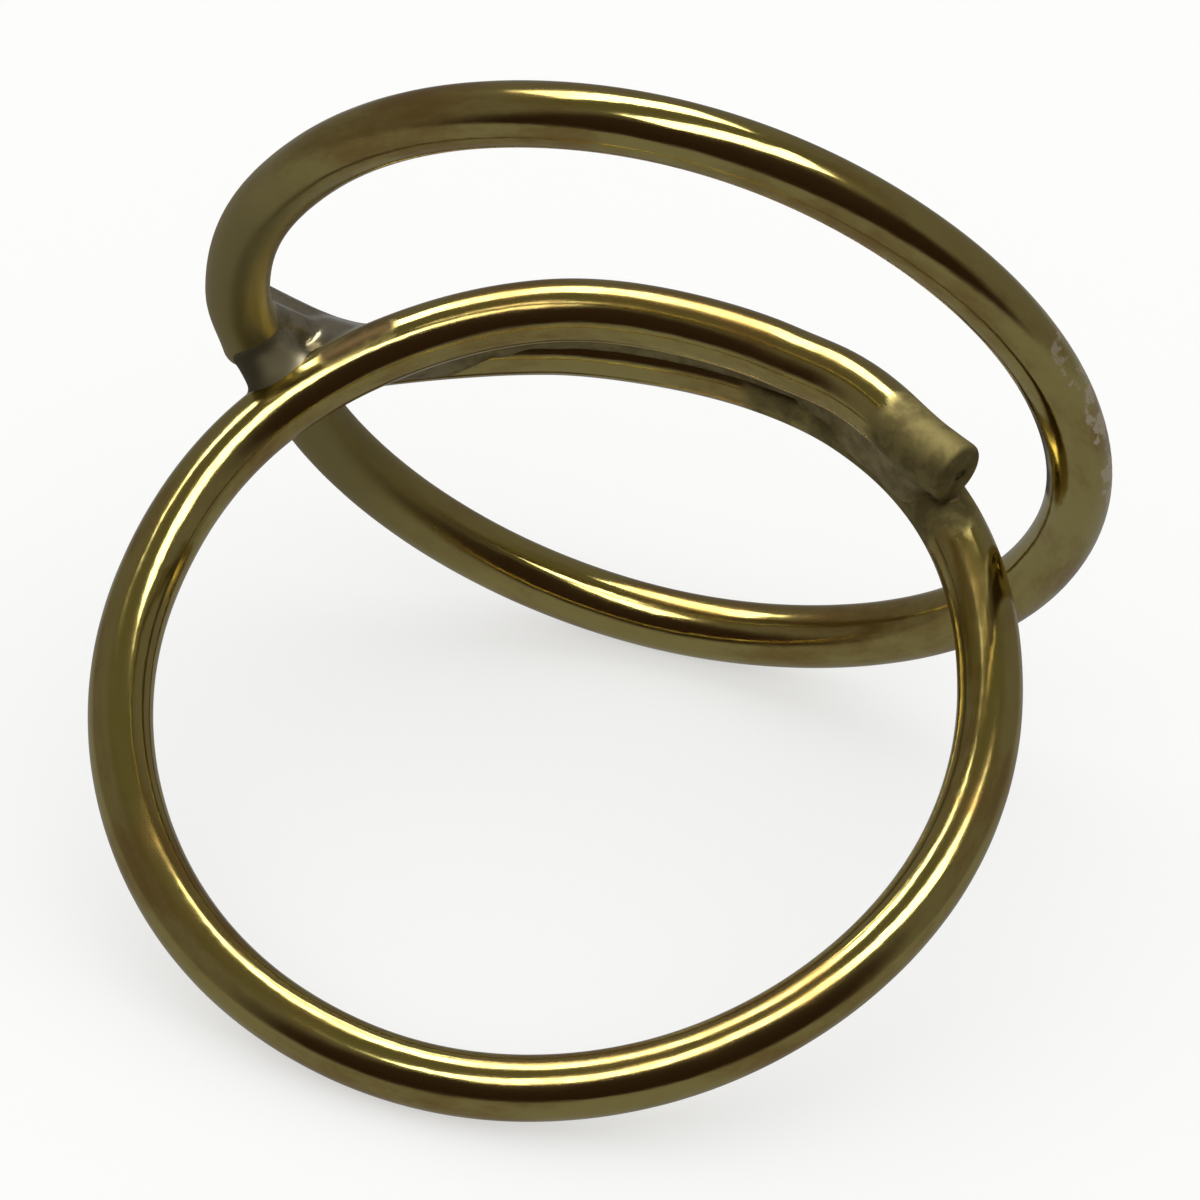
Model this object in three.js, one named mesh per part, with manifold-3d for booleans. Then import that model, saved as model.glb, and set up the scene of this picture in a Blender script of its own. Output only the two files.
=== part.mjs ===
// Double band ring: a finger ring made of two bands of thick round brass wire. The front band is a
// coil of one and a quarter turns whose overlapping strands lie side by side. The back band is a
// single turn standing at a steep angle to it. All the ends but one meet at a single soldered joint,
// so the whole ring is one piece of metal. It stands on the lowest point of each band.
// Millimetres and degrees, +Z up, origin on the ground under the middle of the ring.

import * as THREE from 'three';
import { ConvexGeometry } from 'three/addons/geometries/ConvexGeometry.js';
import { mergeVertices } from 'three/addons/utils/BufferGeometryUtils.js';
import Module from 'manifold-3d';

const wireDiameter = 1.46;
const wireSides = 16;
const degreesPerStep = 2.75;

// Each band winds about its own axis. lean is that axis's angle from the vertical and heading is the
// compass direction it leans to, from +X towards +Y. Angles around a band start where it runs level
// and pass its highest point at 90. The bends are the slight ones that hand forming leaves: each
// moves the wire out from the band's middle, or along its axis, and fades over halfWidth degrees.
const frontBand = {
  radius: 9.68,
  centreX: -0.89,
  centreY: -1.23,
  lean: 25.7,
  heading: -113,
  startAngle: 49.5,
  endAngle: 505.5,
  pitch: -1.45,
  straightStartDegrees: 20,
  straightEndDegrees: 31,
  flareDegrees: 8.5,
  flareOutward: 1.8,
  bends: [
    { middle: 66.5, halfWidth: 13, outward: 0.18, along: 0 },
    { middle: 92, halfWidth: 22, outward: -0.11, along: 0 },
    { middle: 157, halfWidth: 28, outward: 0.09, along: 0 },
    { middle: 219, halfWidth: 36, outward: -0.045, along: 0 },
    { middle: 278, halfWidth: 26, outward: 0.035, along: 0 },
    { middle: 328, halfWidth: 32, outward: -0.05, along: 0 },
    { middle: 412, halfWidth: 32, outward: 0.16, along: 0 },
    { middle: 455, halfWidth: 26, outward: -0.08, along: -0.15 },
    { middle: 490, halfWidth: 30, outward: 0.2, along: 0 },
  ],
};

const backBand = {
  radius: 9.59,
  centreX: 1.19,
  centreY: 4.27,
  lean: 69,
  heading: 74.5,
  startAngle: -9.5,
  endAngle: 345.5,
  startCurveDegrees: 81,
  startOutward: 0.37,
  startDrift: -0.29,
  endCurveDegrees: 76,
  endOutward: -0.275,
  endDrift: -0.13,
  bends: [
    { middle: -10, halfWidth: 12, outward: -0.2, along: 0 },
    { middle: 14, halfWidth: 22, outward: 0.085, along: 0 },
    { middle: 100, halfWidth: 35, outward: 0.07, along: 0 },
    { middle: 183, halfWidth: 20, outward: 0.025, along: 0 },
    { middle: 246, halfWidth: 28, outward: -0.05, along: 0 },
  ],
};

// The solder lump is drawn tight around small balls that sit inside the wires it joins.
const solderBallRadius = 0.58;
const solderBallSegments = 12;
const solderBalls = [
  { band: 'back', angle: -7 },
  { band: 'back', angle: 0 },
  { band: 'back', angle: 345 },
  { band: 'front', angle: 140 },
  { band: 'front', angle: 150 },
  { band: 'front', angle: 499 },
  { band: 'front', angle: 503 },
];

const brassColor = 0x6f6239;

const radians = THREE.MathUtils.degToRad;

// How far a straight end, tangent to a circle of this radius, has left it after this many degrees.
function straightOffset(radius, degrees) {
  return radius / Math.cos(radians(Math.max(degrees, 0))) - radius;
}

function handBends(band, angle) {
  let outward = 0;
  let along = 0;
  for (const bend of band.bends) {
    const away = Math.min(Math.abs(angle - bend.middle) / bend.halfWidth, 1);
    const share = 0.5 + 0.5 * Math.cos(Math.PI * away);
    outward += bend.outward * share;
    along += bend.along * share;
  }
  return { outward, along };
}

// The front band is a flat coil: it drifts along its axis by one wire per turn. Its two ends run
// straight, because such wire doesn't bend right up to its cut, and the last one then flares out
// past the first strand, behind the back band's own ends.
function frontBandOffsets(angle) {
  const band = frontBand;
  const bent = handBends(band, angle);
  const intoStart = band.startAngle + band.straightStartDegrees - angle;
  const intoEnd = angle - (band.endAngle - band.straightEndDegrees);
  const flared = Math.max(angle - (band.endAngle - band.flareDegrees), 0) / band.flareDegrees;
  const straightened = straightOffset(band.radius, intoStart) + straightOffset(band.radius, intoEnd);
  return {
    outward: bent.outward + straightened + band.flareOutward * flared ** 2,
    along: bent.along + (band.pitch * (angle - 300)) / 360,
  };
}

// The back band opens at its start and closes in at its end, so that its last stretch tucks inside
// its first one at the joint.
function backBandOffsets(angle) {
  const band = backBand;
  const bent = handBends(band, angle);
  const toStart = band.startAngle + band.startCurveDegrees - angle;
  const toEnd = angle - (band.endAngle - band.endCurveDegrees);
  const nearStart = Math.max(toStart, 0) / band.startCurveDegrees;
  const nearEnd = Math.max(toEnd, 0) / band.endCurveDegrees;
  return {
    outward: bent.outward + band.startOutward * nearStart ** 2 + band.endOutward * nearEnd ** 2,
    along: bent.along + band.startDrift * nearStart ** 2 + band.endDrift * nearEnd ** 2,
  };
}

// The centre line of one band, about an origin in the middle of its circle.
class BandRoute extends THREE.Curve {
  constructor(band, offsets) {
    super();
    this.band = band;
    this.offsets = offsets;
    const lean = radians(band.lean);
    const heading = radians(band.heading);
    this.axis = new THREE.Vector3(
      Math.sin(lean) * Math.cos(heading),
      Math.sin(lean) * Math.sin(heading),
      Math.cos(lean),
    );
    this.level = new THREE.Vector3(-Math.sin(heading), Math.cos(heading), 0);
    this.uphill = new THREE.Vector3().crossVectors(this.axis, this.level);
    this.centre = new THREE.Vector3(band.centreX, band.centreY, 0);
    this.centre.z = wireDiameter / 2 - this.lowestPoint();
  }

  pointAtAngle(angle) {
    const { outward, along } = this.offsets(angle);
    const reach = this.band.radius + outward;
    return this.centre
      .clone()
      .addScaledVector(this.level, reach * Math.cos(radians(angle)))
      .addScaledVector(this.uphill, reach * Math.sin(radians(angle)))
      .addScaledVector(this.axis, along);
  }

  getPoint(fraction) {
    return this.pointAtAngle(THREE.MathUtils.lerp(this.band.startAngle, this.band.endAngle, fraction));
  }

  lowestPoint() {
    let lowest = Infinity;
    for (let angle = this.band.startAngle; angle < this.band.endAngle; angle += 1) {
      lowest = Math.min(lowest, this.pointAtAngle(angle).z);
    }
    return lowest;
  }
}

function wireAlong(route) {
  const section = new THREE.Shape();
  section.absarc(0, 0, wireDiameter / 2, 0, 2 * Math.PI);
  return new THREE.ExtrudeGeometry(section, {
    steps: Math.round((route.band.endAngle - route.band.startAngle) / degreesPerStep),
    curveSegments: wireSides / 2,
    extrudePath: route,
  });
}

function solderLump(routes) {
  const ball = new THREE.SphereGeometry(solderBallRadius, solderBallSegments, solderBallSegments / 2);
  const corners = ball.getAttribute('position');
  const points = [];
  for (const { band, angle } of solderBalls) {
    const middle = routes[band].pointAtAngle(angle);
    for (let i = 0; i < corners.count; i += 1) {
      points.push(new THREE.Vector3().fromBufferAttribute(corners, i).add(middle));
    }
  }
  return new ConvexGeometry(points);
}

const wasm = await Module();
wasm.setup();

function solidFrom(geometry) {
  const bare = geometry.clone();
  bare.deleteAttribute('normal');
  bare.deleteAttribute('uv');
  const merged = mergeVertices(bare, 1e-5);
  const mesh = new wasm.Mesh({
    numProp: 3,
    vertProperties: new Float32Array(merged.getAttribute('position').array),
    triVerts: new Uint32Array(merged.index.array),
  });
  return new wasm.Manifold(mesh);
}

function geometryFrom(solid) {
  const { vertProperties, triVerts } = solid.getMesh();
  const geometry = new THREE.BufferGeometry();
  geometry.setAttribute('position', new THREE.BufferAttribute(vertProperties, 3));
  geometry.setIndex(new THREE.BufferAttribute(triVerts, 1));
  geometry.computeVertexNormals();
  return geometry;
}

const routes = {
  front: new BandRoute(frontBand, frontBandOffsets),
  back: new BandRoute(backBand, backBandOffsets),
};

const ringSolid = solidFrom(wireAlong(routes.front))
  .add(solidFrom(wireAlong(routes.back)))
  .add(solidFrom(solderLump(routes)));

const ringGeometry = geometryFrom(ringSolid);
ringGeometry.computeBoundingBox();
const box = ringGeometry.boundingBox;
const middle = box.getCenter(new THREE.Vector3());

const brass = new THREE.MeshStandardMaterial({ color: brassColor, roughness: 0.25, metalness: 1 });
const doubleBand = new THREE.Mesh(ringGeometry, brass);
doubleBand.name = 'double_band';
doubleBand.position.set(-middle.x, -middle.y, -box.min.z);

const ring = new THREE.Group();
ring.add(doubleBand);

export default ring;
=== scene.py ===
# Double band ring: two bands of thick round brass wire, bent by hand and silver-soldered together
# into one finger ring. The front band is a coil of one and a quarter turns whose two strands lie side
# by side, and the back band is one turn that stands steeply behind it.

import math

import bpy
from mathutils import Matrix, Vector


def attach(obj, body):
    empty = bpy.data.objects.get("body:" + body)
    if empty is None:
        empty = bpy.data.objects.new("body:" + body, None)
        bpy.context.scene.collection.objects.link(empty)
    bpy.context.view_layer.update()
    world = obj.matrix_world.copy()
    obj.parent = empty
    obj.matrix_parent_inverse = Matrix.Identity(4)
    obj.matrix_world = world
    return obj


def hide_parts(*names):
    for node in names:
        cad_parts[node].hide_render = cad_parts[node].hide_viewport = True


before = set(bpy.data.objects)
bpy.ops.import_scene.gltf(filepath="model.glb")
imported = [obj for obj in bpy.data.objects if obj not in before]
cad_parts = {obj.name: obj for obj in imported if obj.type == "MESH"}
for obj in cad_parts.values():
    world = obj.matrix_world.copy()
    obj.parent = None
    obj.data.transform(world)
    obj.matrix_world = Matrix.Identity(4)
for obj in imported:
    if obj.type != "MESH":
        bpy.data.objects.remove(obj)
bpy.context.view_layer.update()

# ---------------------------------------------------------------------------------------------------
# Front band
# Round brass wire, drawn through a die and coiled by hand round a mandrel. Its two ends stay straight,
# because the wire doesn't bend right up to its cut, and the hidden one then flares outward past the
# joint. Solder holds the overlapping strands together.
# ---------------------------------------------------------------------------------------------------
mm = 0.001
wire_radius = 0.73 * mm
wire_sides = 48
worn_edge = 0.15 * mm
front_band_radius = 9.68 * mm
front_first_angle = 49.5
front_last_angle = 505.5


def hand_bend(angle, middle, half_width, height):
    """A slight bend left by the hand: it rises to this height at its middle and fades out on each side."""
    away = min(abs(angle - middle) / half_width, 1)
    return height * mm * (0.5 + 0.5 * math.cos(math.pi * away))


def straight_offset(radius, degrees):
    """How far a straight end has left its circle after this many degrees."""
    return radius / math.cos(math.radians(max(degrees, 0))) - radius


# Each slight bend's middle and half width, in degrees, and its height in millimetres.
front_band_bends = (
    (66.5, 13, 0.18),
    (92, 22, -0.11),
    (157, 28, 0.09),
    (219, 36, -0.045),
    (278, 26, 0.035),
    (328, 32, -0.05),
    (412, 32, 0.16),
    (455, 26, -0.08),
    (490, 30, 0.2),
)


def front_band_offsets(angle):
    """How far the front band's wire lies outside its circle, and how far along the circle's axis."""
    outward = sum(hand_bend(angle, *bend) for bend in front_band_bends)
    outward += straight_offset(front_band_radius, 69.5 - angle)
    outward += straight_offset(front_band_radius, angle - 474.5)
    flared = max(angle - 497, 0) / (front_last_angle - 497)
    outward += 1.8 * mm * flared**2
    along = -1.45 * mm * (angle - 300) / 360 + hand_bend(angle, 455, 26, -0.15)
    return outward, along


def band_route(centre, radius, lean, heading, first_angle, last_angle, offsets):
    """The wire's centre line as points a degree apart, each band winding about its own leaning axis."""
    lean, heading = math.radians(lean), math.radians(heading)
    axis = Vector((math.sin(lean) * math.cos(heading), math.sin(lean) * math.sin(heading), math.cos(lean)))
    level = Vector((-math.sin(heading), math.cos(heading), 0))
    uphill = axis.cross(level)
    steps = round(last_angle - first_angle)
    points = []
    for step in range(steps + 1):
        angle = first_angle + (last_angle - first_angle) * step / steps
        outward, along = offsets(angle)
        reach = radius + outward
        turn = math.radians(angle)
        points.append(centre + reach * (math.cos(turn) * level + math.sin(turn) * uphill) + along * axis)
    return points


def select_only(piece):
    """Selects this piece alone and makes it the active one."""
    bpy.ops.object.select_all(action="DESELECT")
    piece.select_set(True)
    bpy.context.view_layer.objects.active = piece


def drawn_wire(name, length):
    """A straight wire along X with worn ends, ready to bend. It keeps each point's place on the straight
    wire, in millimetres, as its 'on_wire' attribute, which the wire's patterns follow."""
    bpy.ops.object.select_all(action="DESELECT")
    bpy.ops.mesh.primitive_cylinder_add(
        vertices=wire_sides,
        radius=wire_radius,
        depth=length,
        location=(length / 2, 0, 0),
        rotation=(0, math.pi / 2, 0),
    )
    wire = bpy.context.active_object
    wire.name = wire.data.name = name
    bpy.ops.object.transform_apply(location=True, rotation=True, scale=True)
    bpy.ops.object.mode_set(mode="EDIT")
    bpy.ops.mesh.select_mode(type="EDGE")
    # Cutting each long edge in 20 and each part in 20 again makes 400 short lengths.
    for cuts in (19, 19):
        bpy.ops.mesh.select_all(action="DESELECT")
        bpy.ops.object.mode_set(mode="OBJECT")
        for edge in wire.data.edges:
            start, end = (wire.data.vertices[v].co for v in edge.vertices)
            edge.select = abs(start.x - end.x) > 0.01 * mm
        bpy.ops.object.mode_set(mode="EDIT")
        bpy.ops.mesh.subdivide(number_cuts=cuts)
    bpy.ops.mesh.select_all(action="DESELECT")
    bpy.ops.object.mode_set(mode="OBJECT")
    for edge in wire.data.edges:
        start, end = (wire.data.vertices[v].co for v in edge.vertices)
        at_start = max(start.x, end.x) < 0.001 * mm
        at_end = min(start.x, end.x) > length - 0.001 * mm
        edge.select = at_start or at_end
    bpy.ops.object.mode_set(mode="EDIT")
    bpy.ops.mesh.bevel(offset=worn_edge, segments=4, affect="EDGES")
    bpy.ops.mesh.select_mode(type="FACE")
    bpy.ops.mesh.select_all(action="DESELECT")
    bpy.ops.object.mode_set(mode="OBJECT")
    for face in wire.data.polygons:
        face.select = len(face.vertices) == wire_sides
    bpy.ops.object.mode_set(mode="EDIT")
    bpy.ops.mesh.inset(thickness=0.08 * mm)
    bpy.ops.object.mode_set(mode="OBJECT")
    on_wire = wire.data.attributes.new("on_wire", "FLOAT_VECTOR", "POINT")
    for vertex in wire.data.vertices:
        on_wire.data[vertex.index].vector = vertex.co / mm
    return wire


def mark_near(wire, name, places, near, far):
    """Marks a stretch of wire: the named attribute is 1 within near mm of a place and 0 from far mm on."""
    mark = wire.data.attributes.get(name) or wire.data.attributes.new(name, "FLOAT", "POINT")
    for vertex in wire.data.vertices:
        away = min((vertex.co - place).length for place in places) / mm
        share = min(max((far - away) / (far - near), 0), 1)
        mark.data[vertex.index].value = max(mark.data[vertex.index].value, share)


def apply_modifier(piece, kind, **settings):
    """Adds a modifier with these settings to a piece and applies it."""
    modifier = piece.modifiers.new(kind.lower(), kind)
    for setting, value in settings.items():
        setattr(modifier, setting, value)
    select_only(piece)
    bpy.ops.object.modifier_apply(modifier=modifier.name)


def bend_to(wire, points):
    """Bends the straight wire along the points, as a Curve modifier does, and takes the guide away."""
    guide_curve = bpy.data.curves.new(wire.name + "_guide", "CURVE")
    guide_curve.dimensions = "3D"
    guide_curve.twist_mode = "Z_UP"
    spline = guide_curve.splines.new("POLY")
    spline.points.add(len(points) - 1)
    for place, point in zip(spline.points, points):
        place.co = (*point, 1)
    guide = bpy.data.objects.new(wire.name + "_guide", guide_curve)
    bpy.context.scene.collection.objects.link(guide)
    apply_modifier(wire, "CURVE", object=guide, deform_axis="POS_X")
    bpy.data.objects.remove(guide)
    select_only(wire)
    bpy.ops.object.shade_smooth_by_angle(angle=math.radians(40))


front_route = band_route(
    centre=Vector((-0.9036, -0.883, 4.832)) * mm,
    radius=front_band_radius,
    lean=25.7,
    heading=-113,
    first_angle=front_first_angle,
    last_angle=front_last_angle,
    offsets=front_band_offsets,
)


def front_at(angle):
    """The point of the front band's centre line at an angle."""
    return front_route[round(angle - front_first_angle)]


front_length = sum((b - a).length for a, b in zip(front_route, front_route[1:]))
front_band = drawn_wire("front_band", front_length)
bend_to(front_band, front_route)
# Where brown patina and painted shade lie, and where brass spelter flooded the wire round the cut end.
# The seam's brown is patina and also painted shade, where the two strands shade each other.
seam = [(front_at(angle) + front_at(angle + 360)) / 2 for angle in range(78, 142)]
mark_near(front_band, "patina_and_painted_shade", seam, near=0.3, far=0.7)
# The brown above the joint is painted shade: it sits on the side facing the lamp behind and paints out its
# highlight there.
upper_side = Vector((-0.1, -0.15, 0.71)) * mm
above_joint = [front_at(angle) + upper_side for angle in range(135, 144)]
mark_near(front_band, "patina_and_painted_shade", above_joint, near=0, far=0.6)
cut_end = [front_at(angle) for angle in (50.5, 53, 55.5)]
mark_near(front_band, "flooded", cut_end, near=0.75, far=1.9)
beside_cut_end = [front_at(angle) for angle in (412.5, 417.5, 422.5, 427.5)]
mark_near(front_band, "flooded", beside_cut_end, near=0.85, far=1.7)
below_cut_end = [front_at(angle) for angle in range(432, 444, 2)]
mark_near(front_band, "flooded", below_cut_end, near=0.4, far=1.1)


def linear(hex_colour):
    """An sRGB hex colour as the linear red, green, blue and alpha that Blender's sockets take."""
    channels = [int(hex_colour[i : i + 2], 16) / 255 for i in (1, 3, 5)]
    return tuple(c / 12.92 if c <= 0.04045 else ((c + 0.055) / 1.055) ** 2.4 for c in channels) + (1,)


def add_node(tree, kind, settings={}, links={}):
    """Adds one node: its settings, and for each input either a value or the output that feeds it."""
    node = tree.nodes.new(kind)
    for setting, value in settings.items():
        setattr(node, setting, value)
    for socket, value in links.items():
        if isinstance(value, bpy.types.NodeSocket):
            tree.links.new(value, node.inputs[socket])
        else:
            node.inputs[socket].default_value = value
    return node


# Drawn brass that has been worn for years: the die left fine lines along the wire, and a thin brown
# and olive tarnish dulls the metal in patches.
aged_brass = bpy.data.materials.new("aged_drawn_brass")
aged_brass.use_nodes = True
tree = aged_brass.node_tree
shader = tree.nodes["Principled BSDF"]
on_wire = add_node(tree, "ShaderNodeAttribute", {"attribute_name": "on_wire"}).outputs["Vector"]
# Tarnish lies in patches about 1.4 mm across and 3.5 mm long, with finer mottling inside them.
patches = add_node(tree, "ShaderNodeMapping", {}, {"Vector": on_wire, "Scale": (0.35, 0.9, 0.9)})
stains = add_node(
    tree,
    "ShaderNodeTexNoise",
    {},
    {"Vector": patches.outputs["Vector"], "Scale": 0.8, "Detail": 7, "Roughness": 0.66},
)
tarnish = add_node(
    tree,
    "ShaderNodeMapRange",
    {"interpolation_type": "SMOOTHSTEP"},
    {"Value": stains.outputs["Fac"], "From Min": 0.4, "From Max": 0.68},
)
colour = add_node(
    tree,
    "ShaderNodeMix",
    {"data_type": "RGBA"},
    {"Factor": tarnish.outputs["Result"], 6: linear("#bfb06c"), 7: linear("#a3874c")},
)
# Die lines are some hundredths of a millimetre apart; these are drawn at about 0.1 mm so that they show.
lines = add_node(tree, "ShaderNodeMapping", {}, {"Vector": on_wire, "Scale": (0.1, 1, 1)})
die_lines = add_node(
    tree,
    "ShaderNodeTexNoise",
    {},
    {"Vector": lines.outputs["Vector"], "Scale": 9, "Detail": 3, "Roughness": 0.6},
)
# The torch left the back band's two ends satin and olive.
heated = add_node(tree, "ShaderNodeAttribute", {"attribute_name": "heated"}).outputs["Fac"]
satin = add_node(
    tree,
    "ShaderNodeMix",
    {"data_type": "RGBA"},
    {"Factor": heated, 6: colour.outputs[2], 7: linear("#9c8e58")},
)
# Mottling and specks about half a millimetre across, with ragged edges.
specks = add_node(
    tree,
    "ShaderNodeTexNoise",
    {},
    {"Vector": on_wire, "Scale": 2.2, "Detail": 4, "Roughness": 0.6},
)
mottling = add_node(
    tree,
    "ShaderNodeMapRange",
    {"interpolation_type": "SMOOTHSTEP"},
    {"Value": specks.outputs["Fac"], "From Min": 0.4, "From Max": 0.62},
)
skin = add_node(
    tree,
    "ShaderNodeMix",
    {"data_type": "RGBA"},
    {"Factor": mottling.outputs["Result"], 6: linear("#948858"), 7: linear("#7d7149")},
)
# Where brass spelter flooded the wire its thin skin is dull and mottled, with a ragged edge.
flooded_mark = add_node(tree, "ShaderNodeAttribute", {"attribute_name": "flooded"}).outputs["Fac"]
flooded_sum = add_node(
    tree, "ShaderNodeMath", {"operation": "ADD"}, {0: flooded_mark, 1: stains.outputs["Fac"]}
)
flooded = add_node(
    tree,
    "ShaderNodeMapRange",
    {"interpolation_type": "SMOOTHSTEP"},
    {"Value": flooded_sum.outputs[0], "From Min": 0.75, "From Max": 1.15},
)
skinned = add_node(
    tree,
    "ShaderNodeMix",
    {"data_type": "RGBA"},
    {"Factor": flooded.outputs["Result"], 6: satin.outputs[2], 7: skin.outputs[2]},
)
# Brown patina in the seam between the strands, where no cloth or finger rubs, with painted shade there
# too; painted shade over a highlight above the joint and over glints on the inside of the back band.
patina_and_shade_mark = add_node(tree, "ShaderNodeAttribute", {"attribute_name": "patina_and_painted_shade"}).outputs["Fac"]
patina_and_shade_sum = add_node(
    tree, "ShaderNodeMath", {"operation": "ADD"}, {0: patina_and_shade_mark, 1: stains.outputs["Fac"]}
)
patina_and_painted_shade = add_node(
    tree,
    "ShaderNodeMapRange",
    {"interpolation_type": "SMOOTHSTEP"},
    {"Value": patina_and_shade_sum.outputs[0], "From Min": 0.72, "From Max": 1.25},
)
browned_and_shaded = add_node(
    tree,
    "ShaderNodeMix",
    {"data_type": "RGBA"},
    {"Factor": patina_and_painted_shade.outputs["Result"], 6: skinned.outputs[2], 7: linear("#4e3f26")},
)
# Where the ring rubs on the next finger, specks of it are worn down to bare metal.
worn_mark = add_node(tree, "ShaderNodeAttribute", {"attribute_name": "worn"}).outputs["Fac"]
worn_share = add_node(
    tree, "ShaderNodeMath", {"operation": "MULTIPLY"}, {0: worn_mark, 1: specks.outputs["Fac"]}
)
worn = add_node(
    tree,
    "ShaderNodeMapRange",
    {"interpolation_type": "SMOOTHSTEP"},
    {"Value": worn_share.outputs[0], "From Min": 0.47, "From Max": 0.55},
)
scuffed = add_node(
    tree,
    "ShaderNodeMix",
    {"data_type": "RGBA"},
    {"Factor": worn.outputs["Result"], 6: browned_and_shaded.outputs[2], 7: linear("#d8c8a4")},
)
# Bare drawn wire is glossy, and each coat on it is duller.
polish = add_node(
    tree,
    "ShaderNodeMapRange",
    {},
    {"Value": tarnish.outputs["Result"], "To Min": 0.11, "To Max": 0.2},
)
satin_dullness = add_node(
    tree,
    "ShaderNodeMapRange",
    {},
    {"Value": heated, "To Min": polish.outputs["Result"], "To Max": 0.42},
)
skin_dullness = add_node(
    tree,
    "ShaderNodeMapRange",
    {},
    {"Value": flooded.outputs["Result"], "To Min": satin_dullness.outputs["Result"], "To Max": 0.66},
)
patina_and_shade_dullness = add_node(
    tree,
    "ShaderNodeMapRange",
    {},
    {"Value": patina_and_painted_shade.outputs["Result"], "To Min": skin_dullness.outputs["Result"], "To Max": 0.45},
)
dullness = add_node(
    tree,
    "ShaderNodeMapRange",
    {},
    {"Value": worn.outputs["Result"], "To Min": patina_and_shade_dullness.outputs["Result"], "To Max": 0.35},
)
# Bending over a mandrel and years of wear leave shallow dents a millimetre or two across.
dents = add_node(
    tree, "ShaderNodeTexNoise", {}, {"Vector": on_wire, "Scale": 0.75, "Detail": 2, "Roughness": 0.5}
)
dented = add_node(
    tree,
    "ShaderNodeBump",
    {},
    {"Height": dents.outputs["Fac"], "Strength": 0.35, "Distance": 0.05 * mm},
)
lined = add_node(
    tree,
    "ShaderNodeBump",
    {},
    {
        "Height": die_lines.outputs["Fac"],
        "Strength": 0.35,
        "Distance": 0.006 * mm,
        "Normal": dented.outputs["Normal"],
    },
)
tree.links.new(scuffed.outputs[2], shader.inputs["Base Color"])
tree.links.new(dullness.outputs["Result"], shader.inputs["Roughness"])
tree.links.new(lined.outputs["Normal"], shader.inputs["Normal"])
shader.inputs["Metallic"].default_value = 1
front_band.data.materials.append(aged_brass)

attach(front_band, "root")
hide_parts("double_band")

# ---------------------------------------------------------------------------------------------------
# Back band
# A second length of the same brass wire, bent by hand to a single turn. It opens at its first end and
# closes in at its last, so that the last stretch tucks inside the first one where both are soldered.
# ---------------------------------------------------------------------------------------------------
back_band_bends = (
    (-10, 12, -0.27),
    (14, 22, 0.085),
    (100, 35, 0.07),
    (183, 20, 0.025),
    (246, 28, -0.05),
)


def back_band_offsets(angle):
    """How far the back band's wire lies outside its circle, and how far along the circle's axis."""
    near_start = max(71.5 - angle, 0) / 82
    near_end = max(angle - 269.5, 0) / 82
    outward = (0.38 * near_start**2 - 0.32 * near_end**2) * mm
    outward += sum(hand_bend(angle, *bend) for bend in back_band_bends)
    return outward, (-0.3 * near_start**2 - 0.15 * near_end**2) * mm


back_first_angle = -9.5
back_centre = Vector((1.1764, 4.617, 9.675)) * mm
back_route = band_route(
    centre=back_centre,
    radius=9.59 * mm,
    lean=69,
    heading=74.5,
    first_angle=back_first_angle,
    last_angle=345.5,
    offsets=back_band_offsets,
)


def back_at(angle):
    """The point of the back band's centre line at an angle."""
    return back_route[round(angle - back_first_angle)]


back_length = sum((b - a).length for a, b in zip(back_route, back_route[1:]))
back_band = drawn_wire("back_band", back_length)
bend_to(back_band, back_route)
# Where the torch heated the wire, where it is worn outside, and where brown painted shade darkens its
# inside. Its sides are 7.5 per cent of the band's radius from its centre line.
first_stretch = [back_at(angle) for angle in range(-9, 9, 3)]
mark_near(back_band, "heated", first_stretch, near=2.5, far=7)
last_stretch = [back_at(angle) for angle in range(332, 346, 3)]
mark_near(back_band, "heated", last_stretch, near=2, far=6)
outer_side = [back_centre.lerp(back_at(angle), 1.075) for angle in range(153, 183)]
mark_near(back_band, "worn", outer_side, near=0.35, far=0.75)
# The brown inside is painted shade that darkens a glint reflected from the lamps and the front band.
inner_side = [back_centre.lerp(back_at(angle), 0.925) for angle in range(150, 182)]
mark_near(back_band, "patina_and_painted_shade", inner_side, near=0.3, far=0.85)
back_band.data.materials.append(aged_brass)

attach(back_band, "root")
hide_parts("double_band")

# ---------------------------------------------------------------------------------------------------
# Joint solder
# Silver solder, melted with a torch into the corner where the back band's two ends, the front band's
# flared end and its first strand all meet. It drew into every gap and set in smooth hollow fillets.
# ---------------------------------------------------------------------------------------------------
solder_grid = 0.05 * mm


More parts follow.
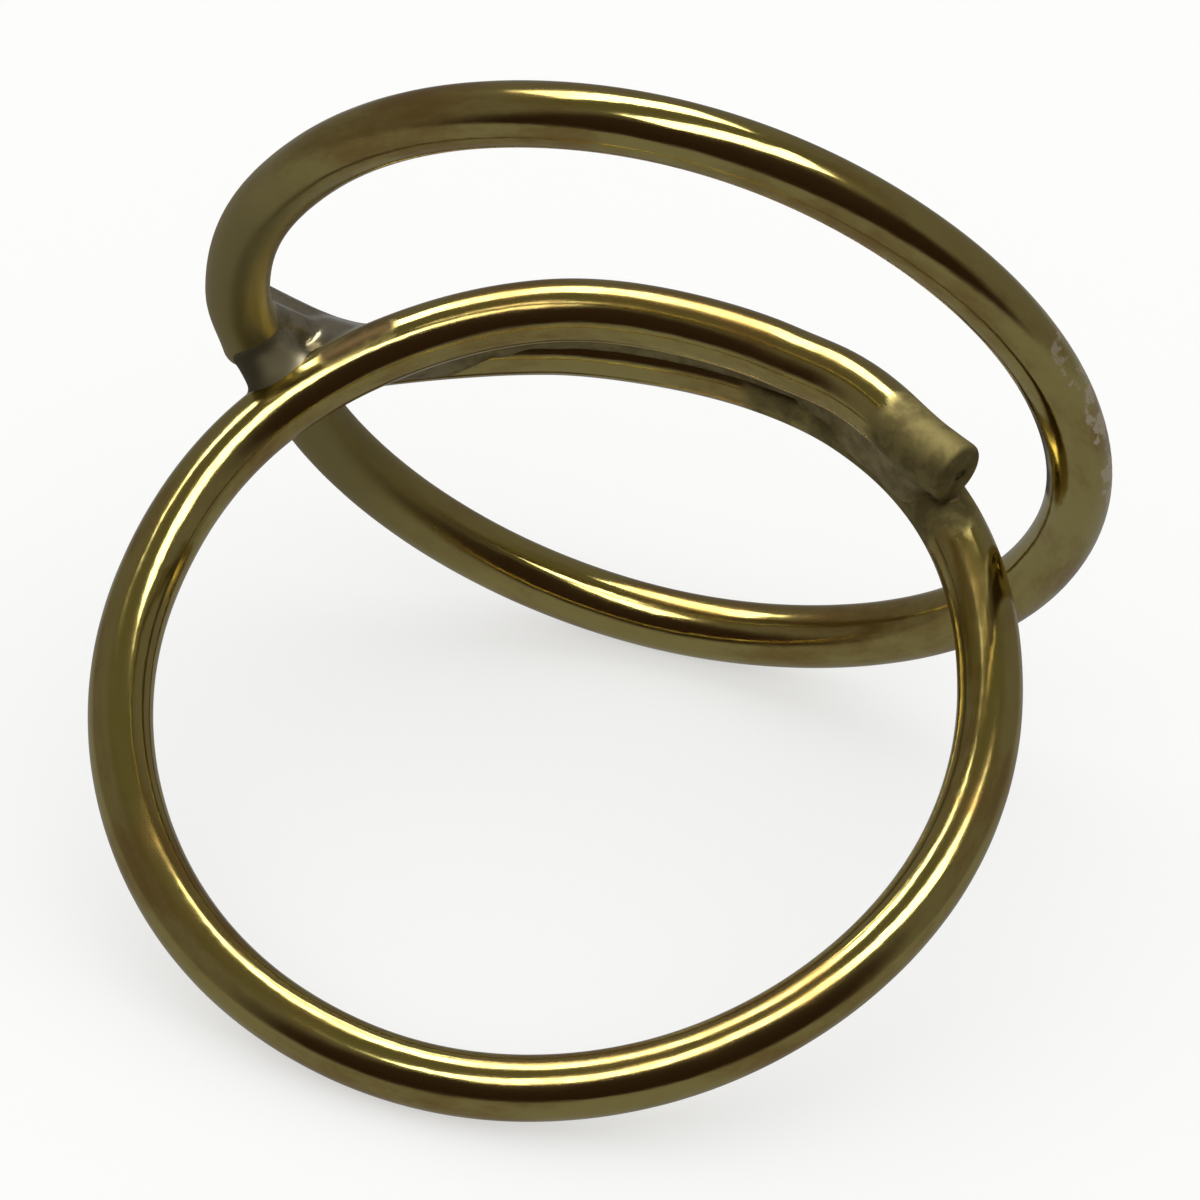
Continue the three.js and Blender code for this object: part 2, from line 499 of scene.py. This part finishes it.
def solder_fillet(name, middle, reach, lumps, passes):
    """Solder as it sets over the wires: the wires within reach of its middle and the lumps between them
    are melted into one skin, which is smoothed until its corners are hollow and the rest has sunk
    under the wires. Each lump is the hull of balls, each given by its radius in mm and its place."""
    select_only(front_band)
    back_band.select_set(True)
    bpy.ops.object.duplicate()
    bpy.ops.object.join()
    piece = bpy.context.active_object
    bpy.ops.object.mode_set(mode="EDIT")
    bpy.ops.mesh.select_mode(type="VERT")
    bpy.ops.mesh.select_all(action="DESELECT")
    bpy.ops.object.mode_set(mode="OBJECT")
    for vertex in piece.data.vertices:
        vertex.select = (vertex.co - middle).length > reach
    bpy.ops.object.mode_set(mode="EDIT")
    bpy.ops.mesh.delete(type="VERT")
    bpy.ops.mesh.select_all(action="SELECT")
    bpy.ops.mesh.fill_holes(sides=0)
    bpy.ops.object.mode_set(mode="OBJECT")
    parts = [piece]
    for balls in lumps:
        bpy.ops.object.select_all(action="DESELECT")
        for radius, place in balls:
            bpy.ops.mesh.primitive_ico_sphere_add(subdivisions=3, radius=radius * mm, location=place)
            parts.append(bpy.context.active_object)
        lump = parts[-len(balls) :]
        for ball in lump:
            ball.select_set(True)
        bpy.ops.object.join()
        parts = parts[: -len(balls)] + [bpy.context.active_object]
        bpy.ops.object.mode_set(mode="EDIT")
        bpy.ops.mesh.select_all(action="SELECT")
        bpy.ops.mesh.convex_hull()
        bpy.ops.object.mode_set(mode="OBJECT")
    for part in parts:
        part.select_set(True)
    bpy.context.view_layer.objects.active = piece
    bpy.ops.object.join()
    bpy.ops.object.transform_apply(location=True, rotation=True, scale=True)
    # Remesh's usual range stops at 0.1 mm, so the piece is a thousand times bigger until it is smooth.
    piece.scale = (1 / mm,) * 3
    bpy.ops.object.transform_apply(scale=True)
    apply_modifier(piece, "REMESH", mode="VOXEL", voxel_size=solder_grid / mm)
    # The biggest part is the solder, and the loose specks round it are dropped.
    bpy.ops.object.mode_set(mode="EDIT")
    bpy.ops.mesh.separate(type="LOOSE")
    bpy.ops.object.mode_set(mode="OBJECT")
    *specks, piece = sorted(bpy.context.selected_objects, key=lambda bit: len(bit.data.vertices))
    for speck in specks:
        bpy.data.meshes.remove(speck.data)
    piece.name = piece.data.name = name
    apply_modifier(piece, "SMOOTH", factor=0.5, iterations=passes)
    piece.scale = (mm,) * 3
    bpy.ops.object.transform_apply(scale=True)
    bpy.ops.object.shade_smooth()
    return piece


bridge = [(0.64, back_at(-7.5)), (0.6, back_at(344.5)), (0.5, front_at(151.5)), (0.4, front_at(146.5))]
recess = [(0.45, place) for place in (back_at(-1.5), back_at(344.5), front_at(504.5), front_at(499.5))]
corner = [(0.6, front_at(137.5)), (0.55, front_at(144.5)), (0.7, front_at(497.5)), (0.68, front_at(502.5))]
coats = [[(0.78, front_at(angle)), (0.78, front_at(angle + 2))] for angle in (498.5, 500.5, 502.5, 503.5)]
joint_solder = solder_fillet(
    "joint_solder",
    middle=(front_at(145.5) + back_at(344.5)) / 2,
    reach=3.3 * mm,
    lumps=[bridge, recess, corner, *coats],
    passes=120,
)

# Silver solder after years of wear: a grey alloy of silver, copper and zinc that melts to a glossy skin
# and then tarnishes to a warm brown-grey in blotches.
silver_solder = bpy.data.materials.new("tarnished_silver_solder")
silver_solder.use_nodes = True
tree = silver_solder.node_tree
shader = tree.nodes["Principled BSDF"]
place = add_node(tree, "ShaderNodeTexCoord").outputs["Object"]
# Stains about 0.8 mm across.
stains = add_node(
    tree,
    "ShaderNodeTexNoise",
    {},
    {"Vector": place, "Scale": 1 / (0.8 * mm), "Detail": 5, "Roughness": 0.6},
)
stained = add_node(
    tree,
    "ShaderNodeMapRange",
    {"interpolation_type": "SMOOTHSTEP"},
    {"Value": stains.outputs["Fac"], "From Min": 0.38, "From Max": 0.66},
)
colour = add_node(
    tree,
    "ShaderNodeMix",
    {"data_type": "RGBA"},
    {"Factor": stained.outputs["Result"], 6: linear("#b4ac92"), 7: linear("#857c60")},
)
polish = add_node(
    tree,
    "ShaderNodeMapRange",
    {},
    {"Value": stained.outputs["Result"], "To Min": 0.17, "To Max": 0.3},
)
# Flux burnt on to the lower corner, beside the back band's first end, and left it matt.
lower_corner = (back_at(-8.5) + front_at(152.5)) / 2
from_corner = add_node(
    tree, "ShaderNodeVectorMath", {"operation": "DISTANCE"}, {0: place, 1: lower_corner}
)
fluxed = add_node(
    tree,
    "ShaderNodeMapRange",
    {"interpolation_type": "SMOOTHSTEP"},
    {"Value": from_corner.outputs["Value"], "From Min": 1.35 * mm, "From Max": 0.75 * mm},
)
dullness = add_node(
    tree,
    "ShaderNodeMapRange",
    {},
    {"Value": fluxed.outputs["Result"], "To Min": polish.outputs["Result"], "To Max": 0.62},
)
darkened = add_node(
    tree,
    "ShaderNodeMix",
    {"data_type": "RGBA"},
    {"Factor": fluxed.outputs["Result"], 6: colour.outputs[2], 7: linear("#615a45")},
)
rippled = add_node(
    tree,
    "ShaderNodeBump",
    {},
    {"Height": stains.outputs["Fac"], "Strength": 0.4, "Distance": 0.03 * mm},
)
tree.links.new(darkened.outputs[2], shader.inputs["Base Color"])
tree.links.new(dullness.outputs["Result"], shader.inputs["Roughness"])
tree.links.new(rippled.outputs["Normal"], shader.inputs["Normal"])
shader.inputs["Metallic"].default_value = 1
# The copied wires brought their brass with them.
joint_solder.data.materials.clear()
joint_solder.data.materials.append(silver_solder)

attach(joint_solder, "root")
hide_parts("double_band")

# ---------------------------------------------------------------------------------------------------
# Strand solder
# Brass spelter, run all along the seam between the front band's two strands. Behind the cut end it
# fills the hollow between them with a flat, pitted sheet that a short stub of the wire pokes out of.
# ---------------------------------------------------------------------------------------------------
webs = []
for start in range(68, 134, 6):
    corners = (start, start + 360, start + 6, start + 366)
    webs.append([(0.44, front_at(angle)) for angle in corners])
seam_end = [(0.6, front_at(angle)) for angle in (125.5, 138.5, 485.5, 498.5)]
seam_spelter = solder_fillet(
    "seam_spelter",
    middle=(front_at(131.5) + front_at(491.5)) / 2,
    reach=2.5 * mm,
    lumps=[seam_end, *webs],
    passes=80,
)
sheet_start = [(0.73, front_at(angle)) for angle in (56.5, 59.5, 62.5)]
sheet_start += [(0.72, front_at(angle)) for angle in (415.5, 420.5)]
sheet_end = [(0.72, front_at(angle)) for angle in (420.5, 426.5)]
sheet_end += [(0.68, front_at(63.5)), (0.64, front_at(67.5))]
groove = [(0.45, front_at(angle)) for angle in (64.5, 74.5, 424.5, 434.5)]
sheet_spelter = solder_fillet(
    "sheet_spelter",
    middle=(front_at(61.5) + front_at(421.5)) / 2,
    reach=3.2 * mm,
    lumps=[sheet_start, sheet_end, groove],
    passes=60,
)

# Brass spelter is brass that melts sooner than the wire. It froze with a dull, mottled and pitted skin
# that was never polished, so it is greyer than the wire and carries no sharp highlight.
brass_spelter = bpy.data.materials.new("brass_spelter")
brass_spelter.use_nodes = True
tree = brass_spelter.node_tree
shader = tree.nodes["Principled BSDF"]
place = add_node(tree, "ShaderNodeTexCoord").outputs["Object"]
# Mottling about 0.6 mm across.
mottling = add_node(
    tree,
    "ShaderNodeTexNoise",
    {},
    {"Vector": place, "Scale": 1 / (0.6 * mm), "Detail": 6, "Roughness": 0.65},
)
mottled = add_node(
    tree,
    "ShaderNodeMapRange",
    {"interpolation_type": "SMOOTHSTEP"},
    {"Value": mottling.outputs["Fac"], "From Min": 0.36, "From Max": 0.66},
)
colour = add_node(
    tree,
    "ShaderNodeMix",
    {"data_type": "RGBA"},
    {"Factor": mottled.outputs["Result"], 6: linear("#a69a6e"), 7: linear("#84764f")},
)
pitted = add_node(
    tree,
    "ShaderNodeBump",
    {},
    {"Height": mottling.outputs["Fac"], "Strength": 0.6, "Distance": 0.06 * mm},
)
tree.links.new(colour.outputs[2], shader.inputs["Base Color"])
tree.links.new(pitted.outputs["Normal"], shader.inputs["Normal"])
shader.inputs["Metallic"].default_value = 1
shader.inputs["Roughness"].default_value = 0.6

for spelter in (seam_spelter, sheet_spelter):
    spelter.data.materials.clear()
    spelter.data.materials.append(brass_spelter)
    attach(spelter, "root")
    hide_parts("double_band")

# ---------------------------------------------------------------------------------------------------
# Floor, light and camera
# A pale card table. Two long soft lamps hang over the ring, one behind it and one in front. The room
# is white in plain sight and dim in the metal's reflections, and the floor is left out of those.
# ---------------------------------------------------------------------------------------------------
bpy.ops.object.select_all(action="DESELECT")
bpy.ops.mesh.primitive_plane_add(size=6, location=(0, 0, 0))
floor = bpy.context.active_object
floor.name = "floor"
floor.visible_glossy = False
pale_table = bpy.data.materials.new("pale_matt_card")
pale_table.use_nodes = True
card = pale_table.node_tree.nodes["Principled BSDF"]
card.inputs["Base Color"].default_value = linear("#b4b4b4")
card.inputs["Roughness"].default_value = 1
card.inputs["Specular IOR Level"].default_value = 0
card.inputs["Emission Color"].default_value = linear("#fffffd")
card.inputs["Emission Strength"].default_value = 0.53
floor.data.materials.append(pale_table)


def add_lamp(name, place, length, width, turn, watts):
    """A flat lamp facing straight down, its long side turned from the X axis by so many degrees."""
    bpy.ops.object.light_add(type="AREA", location=place, rotation=(0, 0, math.radians(turn)))
    lamp = bpy.context.active_object
    lamp.name = name
    lamp.data.shape = "RECTANGLE"
    lamp.data.size = length
    lamp.data.size_y = width
    lamp.data.energy = watts
    lamp.visible_diffuse = False


add_lamp("lamp_behind", (-0.12, 0.37, 0.6), length=0.52, width=0.36, turn=12, watts=3.4)
add_lamp("lamp_in_front", (0.02, -0.25, 0.6), length=0.66, width=0.24, turn=27, watts=2.8)

room = bpy.data.worlds.new("dim_room")
bpy.context.scene.world = room
room.use_nodes = True
sky = room.node_tree
pale = sky.nodes["Background"]
pale.inputs["Color"].default_value = linear("#ffffff")
pale.inputs["Strength"].default_value = 1.0
toward = add_node(sky, "ShaderNodeTexCoord").outputs["Generated"]
sides = add_node(sky, "ShaderNodeSeparateXYZ", {}, {"Vector": toward})
above = add_node(
    sky,
    "ShaderNodeMapRange",
    {"interpolation_type": "SMOOTHSTEP"},
    {"Value": sides.outputs["Z"], "From Min": -0.3, "From Max": -0.1},
)
ceiling = add_node(
    sky,
    "ShaderNodeMapRange",
    {"interpolation_type": "SMOOTHSTEP"},
    {"Value": sides.outputs["Z"], "From Min": 0.6, "From Max": 0.9},
)
in_front = add_node(
    sky,
    "ShaderNodeMapRange",
    {"interpolation_type": "SMOOTHSTEP"},
    {"Value": sides.outputs["Y"], "From Min": -0.35, "From Max": -0.65},
)
walls = add_node(
    sky,
    "ShaderNodeMix",
    {"data_type": "RGBA"},
    {"Factor": ceiling.outputs["Result"], 6: linear("#777473"), 7: linear("#696550")},
)
room_above = add_node(
    sky,
    "ShaderNodeMix",
    {"data_type": "RGBA"},
    {"Factor": in_front.outputs["Result"], 6: walls.outputs[2], 7: linear("#301f19")},
)
surroundings = add_node(
    sky,
    "ShaderNodeMix",
    {"data_type": "RGBA"},
    {"Factor": above.outputs["Result"], 6: linear("#8e8e90"), 7: room_above.outputs[2]},
)
dim = add_node(sky, "ShaderNodeBackground", {}, {"Color": surroundings.outputs[2], "Strength": 1})
glossy = add_node(sky, "ShaderNodeLightPath").outputs["Is Glossy Ray"]
both = add_node(sky, "ShaderNodeMixShader", {}, {0: glossy, 1: pale.outputs[0], 2: dim.outputs[0]})
sky.links.new(both.outputs[0], sky.nodes["World Output"].inputs["Surface"])

# The camera looks down at the ring at 36 degrees, tipped 5 degrees to one side.
back_of_camera = Vector((-0.044622, -0.806782, 0.589162))
right_of_camera = Vector((0.997144, 0, 0.075521))
up_of_camera = back_of_camera.cross(right_of_camera)
looked_at = Vector((-0.0143, 0.344, 6.733)) * mm
camera_distance = 203.6 * mm
bpy.ops.object.camera_add()
camera = bpy.context.active_object
camera_turn = Matrix((right_of_camera, up_of_camera, back_of_camera)).transposed().to_4x4()
camera.matrix_world = Matrix.Translation(looked_at + camera_distance * back_of_camera) @ camera_turn
camera.data.sensor_width = 36
camera.data.lens = 275.2
camera.data.clip_start = 0.01
bpy.context.scene.camera = camera
bpy.context.scene.view_settings.view_transform = "Standard"
